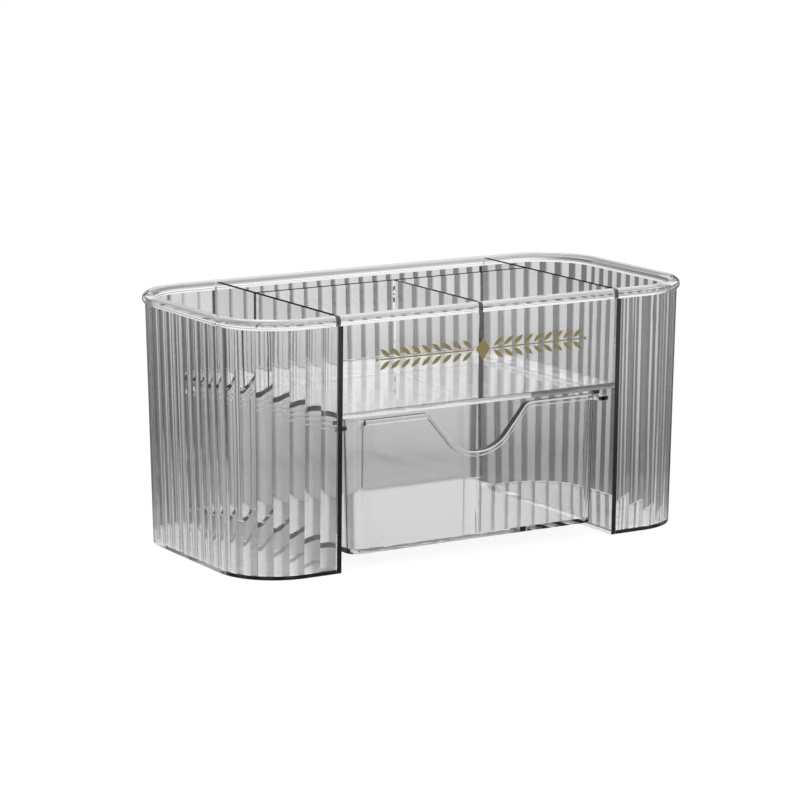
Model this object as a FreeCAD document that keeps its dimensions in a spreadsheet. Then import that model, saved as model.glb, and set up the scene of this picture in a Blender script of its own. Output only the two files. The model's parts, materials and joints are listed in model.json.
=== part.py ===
import FreeCAD, Part
import math
import os

import Sketcher
from FreeCAD import Vector

# Clear brush holder with a drawer slung under its deck.
# Frame: millimetres, +Z up, +X to the right, -Y the front with the drawer.
# Origin: centre of the footprint, on the surface the holder stands on.

doc = FreeCAD.newDocument("brush_holder")

# ---------------------------------------------------------------- driving dimensions
SIZES = {
    # whole holder
    "overall_length": 210.0,     # over the rim, along X
    "overall_depth": 105.0,      # over the rim, along Y
    "overall_height": 100.0,
    "corner_radius": 27.0,       # plan radius of the rim's outer edge
    "bond_line": 0.05,           # film between pieces that are bonded together
    # rim bead and fluted wall
    "rim_radius": 2.3,           # section radius of the bead
    "rim_flat": 0.6,             # height cut off the bead where it sits on the walls
    "rim_overhang": 1.2,         # bead past the wall's outer face, at the top
    "wall_draft": 2.0,           # how far the wall's foot stands in from its top
    "wall_skin": 1.4,            # wall between two ribs
    "rib_depth": 0.45,           # how far a rib swells into the compartment
    "rib_pitch": 6.5,
    # inner walls and plates
    "panel_thickness": 2.0,      # plain walls: front panel and back of the drawer bay
    "divider_spacing": 126.6,    # centre to centre of the two full-height dividers
    "divider_thickness": 2.0,
    "divider_drop": 0.6,         # divider tops below the top of the rim
    "rear_divider_y": 16.0,
    "deck_height": 62.0,         # top of the deck
    "deck_thickness": 2.0,
    "floor_thickness": 1.5,
    # drawer
    "drawer_ground_gap": 5.5,    # underside of the drawer above the table
    "drawer_deck_gap": 2.0,      # lip of the drawer under the deck
    "drawer_setback": 5.1,       # drawer front and back inside the rim's outline
    "drawer_side_gap": 5.1,      # drawer side to divider, which the runners bridge
    "drawer_draft": 1.2,         # how far the drawer's foot stands in from its lip
    "drawer_corner": 6.0,
    "drawer_wall": 1.8,
    "lip_round": 0.5,
    "lip_bead_width": 2.1,       # bead along the front's lip and round the dip
    "lip_bead_proud": 1.2,       # how far the bead stands out from the front's lip
    "lip_bead_round": 0.6,
    "dip_depth": 17.2,           # finger dip in the drawer's front
    "dip_radius": 17.0,
    "dip_angle": 50.0,           # slope of the dip's straight flanks, in degrees
    "dip_shoulder": 4.0,
    # runners on the drawer, rails on the dividers
    "runner_width": 4.0,
    "runner_thickness": 1.6,
    "rail_width": 4.4,
    "rail_thickness": 1.6,
    "rail_play": 0.3,            # running gap between a runner and its rail
    "rail_setback": 6.5,         # rail ends inside the rim's outline
    # gold foil ornament on the front panel
    "ornament_length": 96.0,
    "ornament_height": 9.0,
    "ornament_centre": 81.5,     # height of its middle above the table
    "foil_thickness": 0.12,
    "stem_width": 0.5,
    "leaf_length": 5.2,
    "leaf_width": 1.7,
    "leaf_pitch": 4.6,
    "leaf_angle": 38.0,          # leaf to stem, in degrees
    "dot_radius": 0.6,
}

sheet = doc.addObject("Spreadsheet::Sheet", "Sizes")
for row, (alias, number) in enumerate(SIZES.items(), start=1):
    sheet.set(f"A{row}", alias)
    sheet.set(f"B{row}", str(number))
    sheet.setAlias(f"B{row}", alias)
doc.recompute()

# ---------------------------------------------------------------- shared expressions
RIM_SEAT = "(Sizes.overall_height - 2 * Sizes.rim_radius + Sizes.rim_flat)"
WALL_TOP = f"({RIM_SEAT} - Sizes.bond_line)"
DIVIDER_TOP = "(Sizes.overall_height - Sizes.divider_drop)"
DIVIDER_INNER = "((Sizes.divider_spacing - Sizes.divider_thickness) / 2)"
DECK_UNDER = "(Sizes.deck_height - Sizes.deck_thickness)"
ABOVE_DECK = "(Sizes.deck_height + Sizes.bond_line)"
INSIDE_RIM = "(Sizes.overall_depth / 2 - 2 * Sizes.rim_radius - Sizes.bond_line)"
DRAWER_TOP = f"({DECK_UNDER} - Sizes.drawer_deck_gap)"
DRAWER_FOOT = "Sizes.drawer_ground_gap"
DRAWER_HALF_X = f"({DIVIDER_INNER} - Sizes.drawer_side_gap)"
DRAWER_HALF_Y = "(Sizes.overall_depth / 2 - Sizes.drawer_setback)"
RUNNER_FOOT = f"({DRAWER_TOP} - Sizes.runner_thickness)"
RAIL_TOP = f"({RUNNER_FOOT} - Sizes.rail_play)"


def setback(height):
    """Expression: the wall's outer face in from the rim's outline at a height."""
    return (f"(Sizes.rim_overhang + Sizes.wall_draft * ({RIM_SEAT} - {height}) / {RIM_SEAT})")


def face_y(height):
    """Expression: half the depth over the wall's outer faces at a height."""
    return f"(Sizes.overall_depth / 2 - {setback(height)})"


def value(expression):
    """The number an expression gives with the sheet's present values."""
    result = sheet.evalExpression(expression)
    return float(getattr(result, "Value", result))


def size(alias):
    """The number held in one cell of the sheet."""
    return float(sheet.get(alias))


# ---------------------------------------------------------------- sketch and feature helpers
def new_body(name):
    body = doc.addObject("PartDesign::Body", name)
    body.Label = name
    return body


def new_sketch(body, name, plane, offset=None):
    """An empty sketch on one of the body's own origin planes."""
    support = next(item for item in body.Origin.OriginFeatures if item.Role == plane)
    sketch = body.newObject("Sketcher::SketchObject", name)
    sketch.AttachmentSupport = [(support, "")]
    sketch.MapMode = "FlatFace"
    if offset:
        sketch.setExpression("AttachmentOffset.Base.z", offset)
    return sketch


def bind(sketch, expression, *constraint):
    """Adds a dimension to a sketch and binds it to an expression."""
    index = sketch.addConstraint(Sketcher.Constraint(*constraint, value(expression)))
    sketch.setExpression(f"Constraints[{index}]", expression)


def outline_sketch(body, name, plane, corners, offset=None):
    """A closed outline of straight lines whose corners are expressions."""
    sketch = new_sketch(body, name, plane, offset)
    points = [Vector(value(x), value(y), 0) for x, y in corners]
    count = len(points)
    for index, point in enumerate(points):
        sketch.addGeometry(Part.LineSegment(point, points[(index + 1) % count]), False)
    for index, (x, y) in enumerate(corners):
        sketch.addConstraint(Sketcher.Constraint("Coincident", index, 2, (index + 1) % count, 1))
        bind(sketch, x, "DistanceX", index, 1)
        bind(sketch, y, "DistanceY", index, 1)
    return sketch


def rounded_sketch(body, name, half_x, half_y, radius, offset):
    """A rounded rectangle about the origin, at a height."""
    sketch = new_sketch(body, name, "XY_Plane", offset)
    hx, hy, r = value(half_x), value(half_y), value(radius)
    for turn in range(4):
        sign_x = (1, -1, -1, 1)[turn]
        sign_y = (1, 1, -1, -1)[turn]
        centre = Vector(sign_x * (hx - r), sign_y * (hy - r), 0)
        start = math.radians(90 * turn)
        circle = Part.Circle(centre, Vector(0, 0, 1), r)
        sketch.addGeometry(Part.ArcOfCircle(circle, start, start + math.pi / 2), False)
        if turn % 2 == 0:
            line = (Vector(sign_x * (hx - r), sign_y * hy, 0), Vector(-sign_x * (hx - r), sign_y * hy, 0))
        else:
            line = (Vector(sign_x * hx, sign_y * (hy - r), 0), Vector(sign_x * hx, -sign_y * (hy - r), 0))
        sketch.addGeometry(Part.LineSegment(*line), False)
    for arc in (0, 2, 4, 6):
        sketch.addConstraint(Sketcher.Constraint("Tangent", arc, 2, arc + 1, 1))
        sketch.addConstraint(Sketcher.Constraint("Tangent", arc + 1, 2, (arc + 2) % 8, 1))
        direction = "Horizontal" if arc % 4 == 0 else "Vertical"
        sketch.addConstraint(Sketcher.Constraint(direction, arc + 1))
        if arc:
            sketch.addConstraint(Sketcher.Constraint("Equal", 0, arc))
    bind(sketch, radius, "Radius", 0)
    bind(sketch, half_y, "DistanceY", 1, 1)
    bind(sketch, f"-{half_x}", "DistanceX", 3, 1)
    bind(sketch, f"-{half_y}", "DistanceY", 5, 1)
    bind(sketch, half_x, "DistanceX", 7, 1)
    return sketch


def pad(body, name, sketch, length, midplane=False):
    feature = body.newObject("PartDesign::Pad", name)
    feature.Profile = sketch
    feature.setExpression("Length", length)
    feature.SideType = 2 if midplane else 0
    return feature


def loft(body, kind, name, lower, upper):
    feature = body.newObject(f"PartDesign::{kind}Loft", name)
    feature.Profile = lower
    feature.Sections = [upper]
    feature.Ruled = True
    return feature


def box(name, x, y, z, length, width, height):
    """A Part::Box with its corner and its sizes bound to expressions."""
    item = doc.addObject("Part::Box", name)
    item.Label = name
    for axis, place in zip("xyz", (x, y, z)):
        item.setExpression(f"Placement.Base.{axis}", place)
    item.setExpression("Length", length)
    item.setExpression("Width", width)
    item.setExpression("Height", height)
    return item


def solid(name, shape, placement=None):
    item = doc.addObject("Part::Feature", name)
    item.Label = name
    item.Shape = shape
    if placement:
        item.Placement = placement
    return item


# ---------------------------------------------------------------- rim bead
def make_rim():
    """A round bead with a flat underside, swept round the plan outline."""
    body = new_body("rim")
    centre_z = "(Sizes.overall_height - Sizes.rim_radius)"
    path = rounded_sketch(body, "rim_path", "(Sizes.overall_length / 2 - Sizes.rim_radius)",
                          "(Sizes.overall_depth / 2 - Sizes.rim_radius)",
                          "(Sizes.corner_radius - Sizes.rim_radius)", centre_z)
    # the section stands where the path's first arc meets the straight back
    section = new_sketch(body, "rim_section", "YZ_Plane",
                         "(Sizes.overall_length / 2 - Sizes.corner_radius)")
    radius = size("rim_radius")
    centre = Vector(size("overall_depth") / 2 - radius, size("overall_height") - radius, 0)
    chord = math.asin((radius - size("rim_flat")) / radius)
    arc = Part.ArcOfCircle(Part.Circle(centre, Vector(0, 0, 1), radius), -chord, math.pi + chord)
    sketch_arc = section.addGeometry(arc, False)
    flat = section.addGeometry(Part.LineSegment(arc.EndPoint, arc.StartPoint), False)
    section.addConstraint(Sketcher.Constraint("Coincident", sketch_arc, 2, flat, 1))
    section.addConstraint(Sketcher.Constraint("Coincident", flat, 2, sketch_arc, 1))
    section.addConstraint(Sketcher.Constraint("Horizontal", flat))
    bind(section, "Sizes.rim_radius", "Radius", sketch_arc)
    bind(section, "(Sizes.overall_depth / 2 - Sizes.rim_radius)", "DistanceX", sketch_arc, 3)
    bind(section, centre_z, "DistanceY", sketch_arc, 3)
    bind(section, RIM_SEAT, "DistanceY", flat, 1)
    pipe = body.newObject("PartDesign::AdditivePipe", "rim_bead")
    pipe.Profile = section
    pipe.Spine = (path, [])
    return body


# ---------------------------------------------------------------- fluted walls and floors
def wall_line(inset):
    """Half length, half depth and corner radius of the plan outline, inset all round."""
    return (size("overall_length") / 2 - inset, size("overall_depth") / 2 - inset,
            size("corner_radius") - inset)


def tower_start():
    """X where a tower's pieces start, just outside the divider."""
    return (size("divider_spacing") + size("divider_thickness")) / 2 + size("bond_line")


def share(length):
    """How many ribs a stretch of wall takes at about the rib pitch."""
    return max(1, round(length / size("rib_pitch")))


def tower_stretches(inset):
    """The plan of a tower's outline as (start, end, centre) stretches from front to back;
    centre is None on a straight stretch."""
    half_x, half_y, radius = wall_line(inset)
    near = tower_start()
    cx, cy = half_x - radius, half_y - radius
    front, back = Vector(cx, -cy, 0), Vector(cx, cy, 0)
    return [
        (Vector(near, -half_y, 0), Vector(cx, -half_y, 0), None),
        (Vector(cx, -half_y, 0), Vector(half_x, -cy, 0), front),
        (Vector(half_x, -cy, 0), Vector(half_x, cy, 0), None),
        (Vector(half_x, cy, 0), Vector(cx, half_y, 0), back),
        (Vector(cx, half_y, 0), Vector(near, half_y, 0), None),
    ]


def plain_edges(stretches):
    """Edges of an outline with no ribs."""
    edges = []
    for start, end, centre in stretches:
        if centre is None:
            edges.append(Part.LineSegment(start, end).toShape())
        else:
            radius = (start - centre).Length
            middle = centre + ((start - centre) + (end - centre)).normalize() * radius
            edges.append(Part.Arc(start, middle, end).toShape())
    return edges


def rib_edges(stretches, counts):
    """Edges of the ribbed inner face: one arc for each rib, swelling inwards."""
    depth = size("rib_depth")
    edges = []
    for (start, end, centre), count in zip(stretches, counts):
        for index in range(count):
            spots = []
            for part in (index / count, (index + 0.5) / count, (index + 1) / count):
                if centre is None:
                    spots.append(start + (end - start) * part)
                else:
                    turn = FreeCAD.Rotation(Vector(0, 0, 1), 90 * part)
                    spots.append(centre + turn.multVec(start - centre))
            if centre is None:
                along = (end - start).normalize()
                inwards = Vector(-along.y, along.x, 0)
            else:
                inwards = (centre - spots[1]).normalize()
            spots[1] = spots[1] + inwards * depth
            edges.append(Part.Arc(*spots).toShape())
    return edges


def inset_at(height):
    return value(setback(str(height)))


def stretch_counts(stretches):
    counts = []
    for start, end, centre in stretches:
        if centre is None:
            counts.append(share((end - start).Length))
        else:
            counts.append(share((start - centre).Length * math.pi / 2))
    return counts


def closed_wire(outer, inner, height):
    """Joins an outer chain and an inner chain, both run the same way, into a wire."""
    first, last = outer[0].firstVertex(True).Point, outer[-1].lastVertex(True).Point
    inner_first, inner_last = inner[0].firstVertex(True).Point, inner[-1].lastVertex(True).Point
    edges = outer + [Part.LineSegment(last, inner_last).toShape()]
    edges += [edge.reversed() for edge in reversed(inner)]
    edges.append(Part.LineSegment(inner_first, first).toShape())
    wire = Part.Wire(Part.__sortEdges__(edges))
    wire.translate(Vector(0, 0, height))
    return wire


def drafted(wire_at, low, high):
    """A solid between the outlines that wire_at gives at two heights."""
    return Part.makeLoft([wire_at(low), wire_at(high)], True, True)


def mirrored(shape):
    return shape.mirror(Vector(0, 0, 0), Vector(1, 0, 0))


def tower_wall():
    """The right tower's fluted wall, from its floor to the rim's seat."""
    high = value(WALL_TOP)
    low = size("floor_thickness") + size("bond_line")
    counts = stretch_counts(tower_stretches(inset_at(high) + size("wall_skin")))

    def wire_at(height):
        inset = inset_at(height)
        return closed_wire(plain_edges(tower_stretches(inset)),
                           rib_edges(tower_stretches(inset + size("wall_skin")), counts), height)

    return drafted(wire_at, low, high)


def tower_floor():
    """The right tower's floor plate, which its wall stands on."""
    def wire_at(height):
        edges = plain_edges(tower_stretches(inset_at(height)))
        last, first = edges[-1].lastVertex(True).Point, edges[0].firstVertex(True).Point
        wire = Part.Wire(Part.__sortEdges__(edges + [Part.LineSegment(last, first).toShape()]))
        wire.translate(Vector(0, 0, height))
        return wire

    return drafted(wire_at, 0.0, size("floor_thickness"))


def back_wall():
    """The fluted back between the dividers, from the deck to the rim's seat."""
    reach = value(DIVIDER_INNER) - size("bond_line")
    count = share(2 * reach)

    def wire_at(height):
        inset = inset_at(height)
        outer_y = wall_line(inset)[1]
        inner_y = wall_line(inset + size("wall_skin"))[1]
        outer = [(Vector(reach, outer_y, 0), Vector(-reach, outer_y, 0), None)]
        inner = [(Vector(reach, inner_y, 0), Vector(-reach, inner_y, 0), None)]
        return closed_wire(plain_edges(outer), rib_edges(inner, [count]), height)

    return drafted(wire_at, value(ABOVE_DECK), value(WALL_TOP))


# ---------------------------------------------------------------- plain walls, deck, dividers
def make_front_panel():
    body = new_body("front_panel")
    outer_low, outer_high = face_y(ABOVE_DECK), face_y(WALL_TOP)
    sketch = outline_sketch(body, "front_panel_section", "YZ_Plane", [
        (f"-{outer_low}", ABOVE_DECK),
        (f"-{outer_low} + Sizes.panel_thickness", ABOVE_DECK),
        (f"-{outer_high} + Sizes.panel_thickness", WALL_TOP),
        (f"-{outer_high}", WALL_TOP),
    ])
    pad(body, "front_panel_pad", sketch, f"2 * ({DIVIDER_INNER} - Sizes.bond_line)", True)
    return body


def make_bay_back():
    """The plain back of the drawer bay, under the deck."""
    body = new_body("bay_back")
    top = f"({DECK_UNDER} - Sizes.bond_line)"
    outer_low, outer_high = face_y(DRAWER_FOOT), face_y(top)
    sketch = outline_sketch(body, "bay_back_section", "YZ_Plane", [
        (f"{outer_low} - Sizes.panel_thickness", DRAWER_FOOT),
        (outer_low, DRAWER_FOOT),
        (outer_high, top),
        (f"{outer_high} - Sizes.panel_thickness", top),
    ])
    pad(body, "bay_back_pad", sketch, f"2 * ({DIVIDER_INNER} - Sizes.bond_line)", True)
    return body


def make_deck():
    body = new_body("deck")
    low, high = face_y(DECK_UNDER), face_y("Sizes.deck_height")
    sketch = outline_sketch(body, "deck_section", "YZ_Plane", [
        (f"-{low}", DECK_UNDER),
        (low, DECK_UNDER),
        (high, "Sizes.deck_height"),
        (f"-{high}", "Sizes.deck_height"),
    ])
    pad(body, "deck_pad", sketch, f"2 * ({DIVIDER_INNER} - Sizes.bond_line)", True)
    return body


def make_divider(name, side):
    """A full-height divider, whose ends follow the walls' draft and step in under the rim."""
    body = new_body(name)
    foot, seat = face_y("0"), face_y(WALL_TOP)
    sketch = outline_sketch(body, f"{name}_section", "YZ_Plane", [
        (f"-{foot}", "0"),
        (foot, "0"),
        (seat, WALL_TOP),
        (INSIDE_RIM, WALL_TOP),
        (INSIDE_RIM, DIVIDER_TOP),
        (f"-{INSIDE_RIM}", DIVIDER_TOP),
        (f"-{INSIDE_RIM}", WALL_TOP),
        (f"-{seat}", WALL_TOP),
    ], offset=f"{side} * Sizes.divider_spacing / 2")
    pad(body, f"{name}_pad", sketch, "Sizes.divider_thickness", True)
    return body


def make_cross_divider():
    """The short divider between the two front compartments."""
    body = new_body("cross_divider")
    clear = "Sizes.panel_thickness + Sizes.bond_line"
    rear = "(Sizes.rear_divider_y - Sizes.divider_thickness / 2 - Sizes.bond_line)"
    sketch = outline_sketch(body, "cross_divider_section", "YZ_Plane", [
        (f"-{face_y(ABOVE_DECK)} + {clear}", ABOVE_DECK),
        (rear, ABOVE_DECK),
        (rear, DIVIDER_TOP),
        (f"-{INSIDE_RIM}", DIVIDER_TOP),
        (f"-{INSIDE_RIM}", WALL_TOP),
        (f"-{face_y(WALL_TOP)} + {clear}", WALL_TOP),
    ])
    pad(body, "cross_divider_pad", sketch, "Sizes.divider_thickness", True)
    return body


def make_rear_divider():
    """The long divider between the front compartments and the brush trough."""
    reach = f"({DIVIDER_INNER} - Sizes.bond_line)"
    return box("rear_divider", f"-{reach}", "Sizes.rear_divider_y - Sizes.divider_thickness / 2",
               ABOVE_DECK, f"2 * {reach}", "Sizes.divider_thickness",
               f"{DIVIDER_TOP} - {ABOVE_DECK}")


# ---------------------------------------------------------------- rails and runners
def make_rail(name, side):
    """A ledge bonded to a divider; the drawer's runner rides on it."""
    outer = f"({DIVIDER_INNER} - Sizes.bond_line)"
    near = f"-{outer}" if side < 0 else f"{outer} - Sizes.rail_width"
    half = "(Sizes.overall_depth / 2 - Sizes.rail_setback)"
    return box(name, near, f"-{half}", f"{RAIL_TOP} - Sizes.rail_thickness",
               "Sizes.rail_width", f"2 * {half}", "Sizes.rail_thickness")


def make_runner(name, side):
    """A flange along the drawer's lip; its length is the straight part of the side."""
    inner = f"({DRAWER_HALF_X} + Sizes.bond_line)"
    near = inner if side > 0 else f"-{inner} - Sizes.runner_width"
    half = f"({DRAWER_HALF_Y} - Sizes.drawer_corner)"
    return box(name, near, f"-{half}", RUNNER_FOOT,
               "Sizes.runner_width", f"2 * {half}", "Sizes.runner_thickness")


# ---------------------------------------------------------------- drawer tray
def make_drawer_tray():
    """A drafted open tray with a finger dip in its front."""
    body = new_body("drawer_tray")
    foot_x = f"({DRAWER_HALF_X} - Sizes.drawer_draft)"
    foot_y = f"({DRAWER_HALF_Y} - Sizes.drawer_draft)"
    foot_corner = "(Sizes.drawer_corner - Sizes.drawer_draft)"
    lower = rounded_sketch(body, "tray_foot", foot_x, foot_y, foot_corner, DRAWER_FOOT)
    upper = rounded_sketch(body, "tray_lip", DRAWER_HALF_X, DRAWER_HALF_Y,
                           "Sizes.drawer_corner", DRAWER_TOP)
    loft(body, "Additive", "tray_block", lower, upper)
    doc.recompute()
    add_lip_bead(body)
    doc.recompute()

    # the hollow keeps the same wall all round; its floor is one wall above the foot
    rise = f"(Sizes.drawer_draft * Sizes.drawer_wall / ({DRAWER_TOP} - {DRAWER_FOOT}))"
    hollow_foot = rounded_sketch(
        body, "hollow_foot", f"({foot_x} + {rise} - Sizes.drawer_wall)",
        f"({foot_y} + {rise} - Sizes.drawer_wall)",
        f"({foot_corner} + {rise} - Sizes.drawer_wall)", f"({DRAWER_FOOT} + Sizes.drawer_wall)")
    hollow_top = rounded_sketch(
        body, "hollow_top", f"({DRAWER_HALF_X} - Sizes.drawer_wall)",
        f"({DRAWER_HALF_Y} - Sizes.drawer_wall)",
        "(Sizes.drawer_corner - Sizes.drawer_wall)", DRAWER_TOP)
    loft(body, "Subtractive", "tray_hollow", hollow_foot, hollow_top)
    doc.recompute()

    cut_dip(body)
    doc.recompute()
    round_shoulders(body)
    doc.recompute()
    round_bead(body)
    doc.recompute()
    round_lip(body)
    return body


DIP_BOTTOM = f"({DRAWER_TOP} - Sizes.dip_depth)"
DIP_SIDE = "(Sizes.dip_radius * sin(Sizes.dip_angle))"
DIP_TURN = f"({DIP_BOTTOM} + Sizes.dip_radius * (1 - cos(Sizes.dip_angle)))"
DIP_REACH = f"({DIP_SIDE} + ({DRAWER_TOP} - {DIP_TURN}) / tan(Sizes.dip_angle))"
BEAD_BEND = "(Sizes.dip_radius + Sizes.lip_bead_width)"
BEAD_SIDE = f"({BEAD_BEND} * sin(Sizes.dip_angle))"
BEAD_TURN = f"({DIP_BOTTOM} + Sizes.dip_radius - {BEAD_BEND} * cos(Sizes.dip_angle))"
BEAD_UNDER = f"({DRAWER_TOP} - Sizes.lip_bead_width)"
BEAD_REACH = f"({BEAD_SIDE} + ({BEAD_UNDER} - {BEAD_TURN}) / tan(Sizes.dip_angle))"
BEAD_END = f"({DRAWER_HALF_X} - Sizes.drawer_corner)"
BEAD_FACE = f"({DRAWER_HALF_Y} + Sizes.lip_bead_proud)"


def add_lip_bead(body):
    """A raised bead of even width along the front's lip and down round the finger dip."""
    sketch = new_sketch(body, "lip_bead_outline", "XZ_Plane",
                        f"({DRAWER_HALF_Y} - Sizes.drawer_wall / 2)")
    end, reach, side = value(BEAD_END), value(BEAD_REACH), value(BEAD_SIDE)
    top, under, turn = value(DRAWER_TOP), value(BEAD_UNDER), value(BEAD_TURN)
    low = value(f"({DIP_BOTTOM} - Sizes.lip_bead_width)")
    half = [Vector(end, top, 0), Vector(end, under, 0), Vector(reach, under, 0), Vector(side, turn, 0)]
    other = [Vector(-point.x, point.y, 0) for point in half]
    for start, finish in zip(other, other[1:]):
        sketch.addGeometry(Part.LineSegment(start, finish), False)
    sketch.addGeometry(Part.Arc(other[-1], Vector(0, low, 0), half[-1]), False)
    for start, finish in zip(half[:0:-1], half[-2::-1]):
        sketch.addGeometry(Part.LineSegment(start, finish), False)
    sketch.addGeometry(Part.LineSegment(half[0], other[0]), False)
    for index in range(8):
        meeting = "Tangent" if index in (2, 3) else "Coincident"
        sketch.addConstraint(Sketcher.Constraint(meeting, index, 2, (index + 1) % 8, 1))
    for index in (1, 5, 7):
        sketch.addConstraint(Sketcher.Constraint("Horizontal", index))
    for index in (0, 6):
        sketch.addConstraint(Sketcher.Constraint("Vertical", index))
    bind(sketch, BEAD_BEND, "Radius", 3)
    bind(sketch, "0", "DistanceX", 3, 3)
    bind(sketch, f"{DIP_BOTTOM} + Sizes.dip_radius", "DistanceY", 3, 3)
    bind(sketch, f"-{BEAD_END}", "DistanceX", 1, 1)
    bind(sketch, BEAD_UNDER, "DistanceY", 1, 1)
    bind(sketch, f"-{BEAD_REACH}", "DistanceX", 1, 2)
    bind(sketch, BEAD_REACH, "DistanceX", 5, 1)
    bind(sketch, BEAD_UNDER, "DistanceY", 5, 1)
    bind(sketch, BEAD_END, "DistanceX", 7, 1)
    bind(sketch, DRAWER_TOP, "DistanceY", 7, 1)
    pad(body, "lip_bead", sketch, "Sizes.lip_bead_proud + Sizes.drawer_wall / 2")


def cut_dip(body):
    """The finger dip: a round bottom with straight flanks, through the front wall only."""
    sketch = new_sketch(body, "dip_outline", "XZ_Plane")
    side, turn, reach = value(DIP_SIDE), value(DIP_TURN), value(DIP_REACH)
    top, bottom = value(DRAWER_TOP), value(DIP_BOTTOM)
    flank_low, flank_high = Vector(side, turn, 0), Vector(reach, top, 0)
    mirror_low, mirror_high = Vector(-side, turn, 0), Vector(-reach, top, 0)
    sketch.addGeometry(Part.LineSegment(mirror_high, mirror_low), False)
    sketch.addGeometry(Part.Arc(mirror_low, Vector(0, bottom, 0), flank_low), False)
    sketch.addGeometry(Part.LineSegment(flank_low, flank_high), False)
    sketch.addGeometry(Part.LineSegment(flank_high, mirror_high), False)
    sketch.addConstraint(Sketcher.Constraint("Tangent", 0, 2, 1, 1))
    sketch.addConstraint(Sketcher.Constraint("Tangent", 1, 2, 2, 1))
    sketch.addConstraint(Sketcher.Constraint("Coincident", 2, 2, 3, 1))
    sketch.addConstraint(Sketcher.Constraint("Coincident", 3, 2, 0, 1))
    sketch.addConstraint(Sketcher.Constraint("Horizontal", 3))
    bind(sketch, "Sizes.dip_radius", "Radius", 1)
    bind(sketch, "0", "DistanceX", 1, 3)
    bind(sketch, f"{DIP_BOTTOM} + Sizes.dip_radius", "DistanceY", 1, 3)
    bind(sketch, DRAWER_TOP, "DistanceY", 3, 1)
    bind(sketch, DIP_REACH, "DistanceX", 3, 1)
    bind(sketch, f"-{DIP_REACH}", "DistanceX", 3, 2)
    before = body.Shape.Volume
    pocket = body.newObject("PartDesign::Pocket", "finger_dip")
    pocket.Profile = sketch
    pocket.Type = 1
    pocket.Reversed = True
    doc.recompute()
    cut = before - body.Shape.Volume
    print(f"finger dip removes {cut:.0f} mm3")
    if cut < 1:
        raise RuntimeError("the finger dip misses the front wall")


def add_fillet(body, name, chosen, radius):
    """Rounds the edges of the body's last feature that a test picks out."""
    base = body.Tip
    names = [f"Edge{n}" for n, edge in enumerate(base.Shape.Edges, start=1) if chosen(edge)]
    fillet = body.newObject("PartDesign::Fillet", name)
    fillet.Base = (base, names)
    fillet.setExpression("Radius", radius)


def round_shoulders(body):
    """Rounds the bends where the dip's flanks meet the lip, above and below the bead."""
    def bend_at(reach, height):
        def at_bend(edge):
            ends = [vertex.Point for vertex in edge.Vertexes]
            return (len(ends) == 2 and all(abs(p.z - height) < 0.01 for p in ends)
                    and all(abs(abs(p.x) - reach) < 0.01 for p in ends))
        return at_bend

    add_fillet(body, "dip_shoulders", bend_at(value(DIP_REACH), value(DRAWER_TOP)),
               "Sizes.dip_shoulder")
    doc.recompute()
    add_fillet(body, "bead_shoulders", bend_at(value(BEAD_REACH), value(BEAD_UNDER)),
               "Sizes.dip_shoulder - Sizes.lip_bead_width")


def round_bead(body):
    """Rounds every edge of the bead's front face."""
    face = value(BEAD_FACE)

    def on_face(edge):
        return all(abs(bound + face) < 0.01 for bound in (edge.BoundBox.YMin, edge.BoundBox.YMax))

    add_fillet(body, "bead_edges", on_face, "Sizes.lip_bead_round")


def round_lip(body):
    """Rounds the lip's inner edge, also down round the dip, and its outer edge up to the bead."""
    bottom, top = value(DIP_BOTTOM), value(DRAWER_TOP)
    half_x = value(f"({DRAWER_HALF_X} - Sizes.drawer_wall / 2)")
    half_y = value(f"({DRAWER_HALF_Y} - Sizes.drawer_wall / 2)")
    bead_end = value(BEAD_END)

    def inside_lip(edge):
        ends = [vertex.Point for vertex in edge.Vertexes]
        return (edge.BoundBox.ZMin > bottom - 0.01
                and all(abs(p.x) < half_x and abs(p.y) < half_y for p in ends))

    def outside_lip(edge):
        ends = [vertex.Point for vertex in edge.Vertexes]
        beyond_bead = all(abs(p.x) > bead_end - 0.01 or p.y > 0 for p in ends)
        return (beyond_bead and edge.BoundBox.ZMin > top - 0.01
                and all(abs(p.x) > half_x or abs(p.y) > half_y for p in ends)
                and edge.BoundBox.XLength + edge.BoundBox.YLength > size("drawer_wall"))

    add_fillet(body, "lip_edges", lambda edge: inside_lip(edge) or outside_lip(edge),
               "Sizes.lip_round")


# ---------------------------------------------------------------- gold ornament
def leaf(length, width):
    """A pointed leaf from the origin along +X."""
    tip, bulge = Vector(length, 0, 0), width / 2
    upper = Part.Arc(Vector(0, 0, 0), Vector(length / 2, bulge, 0), tip).toShape()
    lower = Part.Arc(tip, Vector(length / 2, -bulge, 0), Vector(0, 0, 0)).toShape()
    return Part.Face(Part.Wire([upper, lower])).extrude(Vector(0, 0, size("foil_thickness")))


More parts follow.
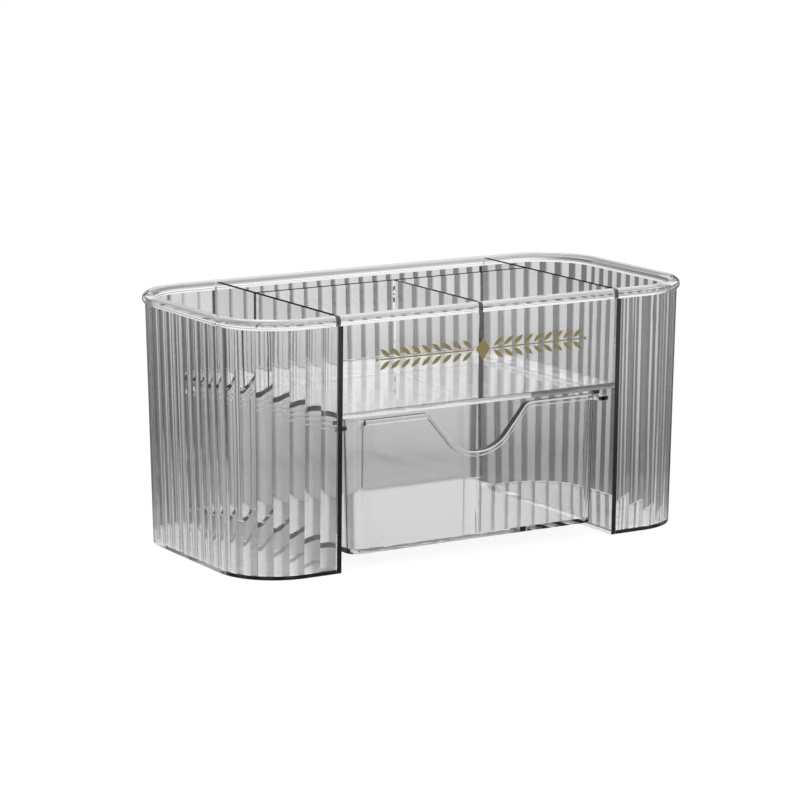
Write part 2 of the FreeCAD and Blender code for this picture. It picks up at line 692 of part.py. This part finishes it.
def ornament_pieces():
    """A row of leaves along a stem, mirrored about a lozenge, flat in the XY plane."""
    thick, half = size("foil_thickness"), size("ornament_length") / 2
    length, width, pitch = size("leaf_length"), size("leaf_width"), size("leaf_pitch")
    stem, dot = size("stem_width"), size("dot_radius")
    lozenge = size("ornament_height") / 2
    pieces = []
    corners = [Vector(lozenge * 0.7, 0, 0), Vector(0, lozenge, 0), Vector(-lozenge * 0.7, 0, 0),
               Vector(0, -lozenge, 0)]
    pieces.append(Part.Face(Part.makePolygon(corners + corners[:1])).extrude(Vector(0, 0, thick)))
    start = lozenge * 0.7 + 2 * stem
    end = half - 3 * dot
    for side in (1, -1):
        near = start if side > 0 else -end
        pieces.append(Part.makeBox(end - start, stem, thick, Vector(near, -stem / 2, 0)))
        pieces.append(Part.makeCylinder(dot, thick, Vector(side * (half - dot), 0, 0)))
        count = int((end - start - length) / pitch) + 1
        for index in range(count):
            root = start + stem + index * pitch
            for flip in (1, -1):
                blade = leaf(length, width)
                blade.translate(Vector(stem, 0, 0))
                blade.rotate(Vector(0, 0, 0), Vector(0, 0, 1), flip * size("leaf_angle"))
                blade.translate(Vector(root, flip * stem, 0))
                pieces.append(blade if side > 0 else mirrored(blade))
    return pieces


def make_ornament():
    """The foil lies on the leaning face of the front panel."""
    middle = size("ornament_centre")
    lean = size("wall_draft") / value(RIM_SEAT)
    across, up, out = Vector(1, 0, 0), Vector(0, -lean, 1), Vector(0, -1, -lean)
    turn = FreeCAD.Rotation(across, up.normalize(), out.normalize(), "ZXY")
    place = FreeCAD.Placement(Vector(0, -value(face_y(str(middle))), middle), turn)
    return solid("gold_ornament", Part.makeCompound(ornament_pieces()), place)


# ---------------------------------------------------------------- build
parts = [
    make_rim(),
    solid("left_tower_wall", mirrored(tower_wall())),
    solid("right_tower_wall", tower_wall()),
    solid("back_wall", back_wall()),
    make_front_panel(),
    make_bay_back(),
    make_deck(),
    make_divider("left_divider", -1),
    make_divider("right_divider", 1),
    make_rear_divider(),
    make_cross_divider(),
    solid("left_floor", mirrored(tower_floor())),
    solid("right_floor", tower_floor()),
    make_rail("left_rail", -1),
    make_rail("right_rail", 1),
    make_ornament(),
    make_drawer_tray(),
    make_runner("left_runner", -1),
    make_runner("right_runner", 1),
]
doc.recompute()

for item in doc.Objects:
    if "Invalid" in item.State or "Error" in item.State:
        raise RuntimeError(f"{item.Label} did not compute: {item.State}")
for part in parts:
    if part.Shape.isNull() or not part.Shape.isValid():
        raise RuntimeError(f"{part.Label} has a bad shape")
    if part.Shape.Volume <= 0:
        raise RuntimeError(f"{part.Label} has no volume")

os.makedirs("parts", exist_ok=True)
for part in parts:
    part.Shape.exportStep(f"parts/{part.Label}.step")
    print(f"{part.Label}: {len(part.Shape.Solids)} solid(s), {part.Shape.Volume:.0f} mm3")
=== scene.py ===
import json
import math

import bpy
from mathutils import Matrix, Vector

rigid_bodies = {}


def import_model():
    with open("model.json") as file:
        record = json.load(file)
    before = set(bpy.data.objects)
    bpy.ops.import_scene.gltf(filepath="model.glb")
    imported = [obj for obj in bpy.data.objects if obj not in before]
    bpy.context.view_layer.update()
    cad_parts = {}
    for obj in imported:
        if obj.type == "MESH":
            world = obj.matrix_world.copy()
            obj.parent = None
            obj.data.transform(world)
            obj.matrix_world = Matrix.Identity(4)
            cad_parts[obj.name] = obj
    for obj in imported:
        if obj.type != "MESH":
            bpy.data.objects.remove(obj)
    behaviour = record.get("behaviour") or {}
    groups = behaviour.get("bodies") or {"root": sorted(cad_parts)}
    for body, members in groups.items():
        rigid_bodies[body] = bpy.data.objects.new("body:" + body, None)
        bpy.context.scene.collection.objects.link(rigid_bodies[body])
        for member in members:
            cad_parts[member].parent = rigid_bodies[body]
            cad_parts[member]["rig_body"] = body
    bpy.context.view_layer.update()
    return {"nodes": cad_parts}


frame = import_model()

scene = bpy.context.scene
scene.view_settings.view_transform = "Standard"

WHITE = (1, 1, 1, 1)
BLACK = (0, 0, 0, 1)


# ---------------------------------------------------------------- camera
VIEW_AZIMUTH = math.radians(-30.957)
VIEW_ELEVATION = math.radians(10.958)
VIEW_DISTANCE = 1.32712
VIEW_TARGET = Vector((-0.006698, 0.0, 0.053579))
LENS_MM = 149.59
SENSOR_MM = 36.0
CLIP_NEAR, CLIP_FAR = 0.05, 60.0


def aim(obj, target):
    """Turns obj so that its -Z axis points at target."""
    direction = Vector(target) - obj.location
    obj.rotation_euler = direction.to_track_quat("-Z", "Y").to_euler()


def make_camera():
    data = bpy.data.cameras.new("camera")
    data.lens = LENS_MM
    data.sensor_width = SENSOR_MM
    data.clip_start = CLIP_NEAR
    data.clip_end = CLIP_FAR
    camera = bpy.data.objects.new("camera", data)
    scene.collection.objects.link(camera)
    flat = math.cos(VIEW_ELEVATION)
    camera.location = VIEW_TARGET + VIEW_DISTANCE * Vector((
        math.sin(VIEW_AZIMUTH) * flat,
        -math.cos(VIEW_AZIMUTH) * flat,
        math.sin(VIEW_ELEVATION),
    ))
    aim(camera, VIEW_TARGET)
    scene.camera = camera


make_camera()


# ---------------------------------------------------------------- nodes
NOISE_DETAIL = 2.0


def add(tree, kind, **inputs):
    """A node of this kind with its inputs set by name, where _ stands for a space."""
    node = tree.nodes.new(kind)
    for key, value in inputs.items():
        node.inputs[key.replace("_", " ")].default_value = value
    return node


def math_node(tree, operation, *values):
    """The result of a Math node on sockets or plain numbers."""
    node = tree.nodes.new("ShaderNodeMath")
    node.operation = operation
    for place, value in zip(node.inputs, values):
        if isinstance(value, bpy.types.NodeSocket):
            tree.links.new(value, place)
        else:
            place.default_value = value
    return node.outputs[0]


def span(tree, value, low, high, at_low, at_high, kind="SMOOTHSTEP"):
    """value's stretch from low to high, turned into at_low to at_high."""
    node = add(tree, "ShaderNodeMapRange", From_Min=low, From_Max=high)
    node.inputs["To Min"].default_value = at_low
    node.inputs["To Max"].default_value = at_high
    node.interpolation_type = kind
    tree.links.new(value, node.inputs["Value"])
    return node.outputs["Result"]


def noise(tree, scale):
    """Noise from 0 to 1 that is fixed to the object."""
    place = tree.nodes.new("ShaderNodeTexCoord")
    source = add(tree, "ShaderNodeTexNoise", Scale=scale, Detail=NOISE_DETAIL)
    tree.links.new(place.outputs["Object"], source.inputs["Vector"])
    return source.outputs["Fac"]


# ---------------------------------------------------------------- materials
PLASTIC_IOR = 1.49
HAZE_SCALE, HAZE_MOST = 90.0, 0.03                # a faint unevenness of the polish
WAVE_SCALE, WAVE_STRENGTH, WAVE_DEPTH = 60.0, 0.05, 0.0005
LAMP_SHARE = 0.95                                 # share of the light that a face lets past
HOLDER_DENSITY, DRAWER_DENSITY = 3.0, 4.0         # absorption per metre

FOIL_ROUGHNESS = 0.35
FOIL_MOTTLE_SCALE = 900.0
FOIL_DARK, FOIL_PALE = (0.27, 0.23, 0.10, 1), (0.42, 0.37, 0.18, 1)


def new_material(name):
    material = bpy.data.materials.new(name)
    material.use_nodes = True
    material.node_tree.nodes.clear()
    return material, material.node_tree


def clear_plastic(name, density):
    """Polished clear plastic, which lamps shine straight through."""
    material, tree = new_material(name)
    plastic = add(tree, "ShaderNodeBsdfPrincipled", Base_Color=WHITE,
                  Transmission_Weight=1.0, IOR=PLASTIC_IOR)
    haze = span(tree, noise(tree, HAZE_SCALE), 0.0, 1.0, 0.0, HAZE_MOST, "LINEAR")
    tree.links.new(haze, plastic.inputs["Roughness"])
    wave = add(tree, "ShaderNodeBump", Strength=WAVE_STRENGTH, Distance=WAVE_DEPTH)
    tree.links.new(noise(tree, WAVE_SCALE), wave.inputs["Height"])
    tree.links.new(wave.outputs["Normal"], plastic.inputs["Normal"])
    past = add(tree, "ShaderNodeBsdfTransparent", Color=(LAMP_SHARE,) * 3 + (1,))
    path = tree.nodes.new("ShaderNodeLightPath")
    light = math_node(tree, "MAXIMUM",
                      path.outputs["Is Shadow Ray"], path.outputs["Is Diffuse Ray"])
    mix = tree.nodes.new("ShaderNodeMixShader")
    tree.links.new(light, mix.inputs["Fac"])
    tree.links.new(plastic.outputs["BSDF"], mix.inputs[1])
    tree.links.new(past.outputs["BSDF"], mix.inputs[2])
    inside = add(tree, "ShaderNodeVolumeAbsorption", Color=BLACK, Density=density)
    out = tree.nodes.new("ShaderNodeOutputMaterial")
    tree.links.new(mix.outputs["Shader"], out.inputs["Surface"])
    tree.links.new(inside.outputs["Volume"], out.inputs["Volume"])
    return material


def gold_foil(name):
    """Satin gold foil with a fine mottle."""
    material, tree = new_material(name)
    foil = add(tree, "ShaderNodeBsdfPrincipled", Metallic=1.0, Roughness=FOIL_ROUGHNESS)
    ramp = tree.nodes.new("ShaderNodeValToRGB")
    for element, colour in zip(ramp.color_ramp.elements, (FOIL_DARK, FOIL_PALE)):
        element.color = colour
    tree.links.new(noise(tree, FOIL_MOTTLE_SCALE), ramp.inputs["Fac"])
    tree.links.new(ramp.outputs["Color"], foil.inputs["Base Color"])
    out = tree.nodes.new("ShaderNodeOutputMaterial")
    tree.links.new(foil.outputs["BSDF"], out.inputs["Surface"])
    return material


def dress(nodes):
    """Gives each CAD node its material."""
    holder_plastic = clear_plastic("clear_plastic", HOLDER_DENSITY)
    drawer_plastic = clear_plastic("drawer_plastic", DRAWER_DENSITY)
    gold = gold_foil("gold_foil")
    for name, node in nodes.items():
        if name == "gold_ornament":
            material = gold
        elif node["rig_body"] == "drawer":
            material = drawer_plastic
        else:
            material = holder_plastic
        node.data.materials.clear()
        node.data.materials.append(material)


dress(frame["nodes"])


# ---------------------------------------------------------------- floor
FLOOR_HALF = 4.0
FLOOR_DEPTH = -0.0003
FLOOR_COLOUR = 0.55
FLOOR_GLOW = 0.56                                 # brings the lit floor up to white


def make_floor():
    """A white floor with the holder's shadow. Bent and mirrored rays pass it, to the studio."""
    mesh = bpy.data.meshes.new("floor")
    h, z = FLOOR_HALF, FLOOR_DEPTH
    mesh.from_pydata([(-h, -h, z), (h, -h, z), (h, h, z), (-h, h, z)], [], [(0, 1, 2, 3)])
    floor = bpy.data.objects.new("floor", mesh)
    scene.collection.objects.link(floor)
    material, tree = new_material("floor")
    matte = add(tree, "ShaderNodeBsdfDiffuse", Color=(FLOOR_COLOUR,) * 3 + (1,))
    glow = add(tree, "ShaderNodeEmission", Color=WHITE)
    path = tree.nodes.new("ShaderNodeLightPath")
    eye = math_node(tree, "MAXIMUM",
                    path.outputs["Is Camera Ray"], path.outputs["Is Glossy Ray"])
    eye = math_node(tree, "MAXIMUM", eye, path.outputs["Is Transmission Ray"])
    tree.links.new(math_node(tree, "MULTIPLY", eye, FLOOR_GLOW), glow.inputs["Strength"])
    both = tree.nodes.new("ShaderNodeAddShader")
    tree.links.new(matte.outputs[0], both.inputs[0])
    tree.links.new(glow.outputs[0], both.inputs[1])
    out = tree.nodes.new("ShaderNodeOutputMaterial")
    tree.links.new(both.outputs[0], out.inputs["Surface"])
    mesh.materials.append(material)
    floor.visible_transmission = False
    floor.visible_glossy = False


make_floor()


# ---------------------------------------------------------------- studio
# What clear plastic mirrors and looks through to, as levels of a soft white studio with cards
# round it. Directions are in degrees from +Y towards +X. Heights are the Z part of a direction
# of length 1. Each card has the direction of its middle, its half width, and its levels at its
# foot and top.
LOW_LEVEL = 0.35                                  # below the horizon
LOW_CARDS = (
    (8.0, 78.0, 0.11, 0.18),                      # dark, behind the holder
    (26.0, 8.2, 0.39, 0.67),                      # pale, in the middle of the dark one
    (180.0, 43.0, 0.95, 0.95),                    # bright, in front
)
LOW_FOOT, LOW_TOP = -0.207, -0.165
HIGH_LEVEL = 0.35                                 # above the horizon
HIGH_CARDS = (
    (155.0, 35.0, 0.9, 0.9),                      # bright, in front
    (54.0, 24.0, 0.45, 1.15),                     # three behind the holder
    (21.0, 11.0, 1.15, 0.15),
    (31.0, 2.5, 1.15, 1.08),
)
HIGH_FOOT, HIGH_TOP = 0.185, 0.205
STRIP_LEVEL = 0.04                                # a dark strip under them, all the way round
STRIP_FOOT, STRIP_TOP, STRIP_SOFT = 0.134, 0.171, 0.004
CARD_SOFT = 2.0                                   # half width of a card's blurred edge
HORIZON_SOFT = 0.01                               # half height of the blurred horizon
CEILING_LEVEL = 0.9
CEILING_FOOT, CEILING_TOP = 0.22, 0.26            # heights over which the ceiling takes over
# Below the cards the level rises and falls UNDER_WAVES times round the holder, so that flutes
# show from every side, and straight down it is the table's.
UNDER_LEVEL, UNDER_SWING, UNDER_WAVES = 0.50, 0.22, 8.0
UNDER_FOOT, UNDER_TOP = -0.245, -0.213
TABLE_LEVEL = 0.82
TABLE_FOOT, TABLE_TOP = -0.8, -0.5
ROOM_LIGHT = 0.8                                  # what lights the matt floor


def blend_levels(tree, share, level, other):
    """level where share is 0, other where it is 1."""
    step = math_node(tree, "SUBTRACT", other, level)
    return math_node(tree, "MULTIPLY_ADD", step, share, level)


def lay_cards(tree, degrees, height, behind, cards, foot, top):
    """The level behind some cards, with each card's own levels where it covers it."""
    for faces, half, low, high in cards:
        off = math_node(tree, "WRAP",
                        math_node(tree, "SUBTRACT", degrees, faces), 180.0, -180.0)
        away = math_node(tree, "ABSOLUTE", off)
        share = span(tree, away, half - CARD_SOFT, half + CARD_SOFT, 1.0, 0.0)
        level = span(tree, height, foot, top, low, high, "LINEAR")
        behind = blend_levels(tree, share, behind, level)
    return behind


def studio_level(tree):
    """The studio's level in each direction."""
    place = tree.nodes.new("ShaderNodeTexCoord")
    split = tree.nodes.new("ShaderNodeSeparateXYZ")
    tree.links.new(place.outputs["Generated"], split.inputs[0])
    height = split.outputs["Z"]
    turn = math_node(tree, "ARCTAN2", split.outputs["X"], split.outputs["Y"])
    degrees = math_node(tree, "MULTIPLY", turn, math.degrees(1.0))

    low = lay_cards(tree, degrees, height, LOW_LEVEL, LOW_CARDS, LOW_FOOT, LOW_TOP)
    high = lay_cards(tree, degrees, height, HIGH_LEVEL, HIGH_CARDS, HIGH_FOOT, HIGH_TOP)
    strip = math_node(
        tree, "MULTIPLY",
        span(tree, height, STRIP_FOOT - STRIP_SOFT, STRIP_FOOT + STRIP_SOFT, 0.0, 1.0),
        span(tree, height, STRIP_TOP - STRIP_SOFT, STRIP_TOP + STRIP_SOFT, 1.0, 0.0))
    high = blend_levels(tree, strip, high, STRIP_LEVEL)
    wave = math_node(tree, "COSINE", math_node(tree, "MULTIPLY", turn, UNDER_WAVES))
    under = math_node(tree, "MULTIPLY_ADD", wave, UNDER_SWING, UNDER_LEVEL)

    above = span(tree, height, -HORIZON_SOFT, HORIZON_SOFT, 0.0, 1.0)
    level = blend_levels(tree, above, low, high)
    over = span(tree, height, CEILING_FOOT, CEILING_TOP, 0.0, 1.0)
    level = blend_levels(tree, over, level, CEILING_LEVEL)
    below = span(tree, height, UNDER_FOOT, UNDER_TOP, 1.0, 0.0)
    level = blend_levels(tree, below, level, under)
    down = span(tree, height, TABLE_FOOT, TABLE_TOP, 1.0, 0.0)
    return blend_levels(tree, down, level, TABLE_LEVEL)


def make_world():
    """White to the camera, the studio to bent and mirrored rays, plain light to the rest."""
    world = bpy.data.worlds.new("studio")
    scene.world = world
    world.use_nodes = True
    tree = world.node_tree
    tree.nodes.clear()
    studio = studio_level(tree)
    path = tree.nodes.new("ShaderNodeLightPath")
    camera_ray = path.outputs["Is Camera Ray"]
    looked = math_node(tree, "MAXIMUM",
                       path.outputs["Is Transmission Ray"], path.outputs["Is Glossy Ray"])
    lit = math_node(tree, "SUBTRACT", 1.0, math_node(tree, "MAXIMUM", looked, camera_ray))
    total = math_node(tree, "MULTIPLY_ADD", looked, studio, camera_ray)
    total = math_node(tree, "MULTIPLY_ADD", lit, ROOM_LIGHT, total)
    back = add(tree, "ShaderNodeBackground", Color=WHITE)
    tree.links.new(total, back.inputs["Strength"])
    out = tree.nodes.new("ShaderNodeOutputWorld")
    tree.links.new(back.outputs[0], out.inputs["Surface"])


make_world()

LAMP_PLACE = (-0.7, -0.5, 1.1)
LAMP_TARGET = (0, 0, 0.05)
LAMP_SIZE = (0.9, 0.6)
LAMP_WATTS = 3.0


def make_lamp():
    data = bpy.data.lights.new("key", "AREA")
    data.shape = "RECTANGLE"
    data.size, data.size_y = LAMP_SIZE
    data.energy = LAMP_WATTS
    lamp = bpy.data.objects.new("key", data)
    scene.collection.objects.link(lamp)
    lamp.location = LAMP_PLACE
    aim(lamp, LAMP_TARGET)


make_lamp()


# ---------------------------------------------------------------- light paths
# Many bounces carry light through wall after wall. Few glossy ones cut off what is trapped
# inside a plate, so that plates' ends are dark.
scene.cycles.max_bounces = 32
scene.cycles.transmission_bounces = 24
scene.cycles.glossy_bounces = 10
scene.cycles.diffuse_bounces = 2
scene.cycles.transparent_max_bounces = 40
scene.cycles.caustics_reflective = False
scene.cycles.caustics_refractive = False
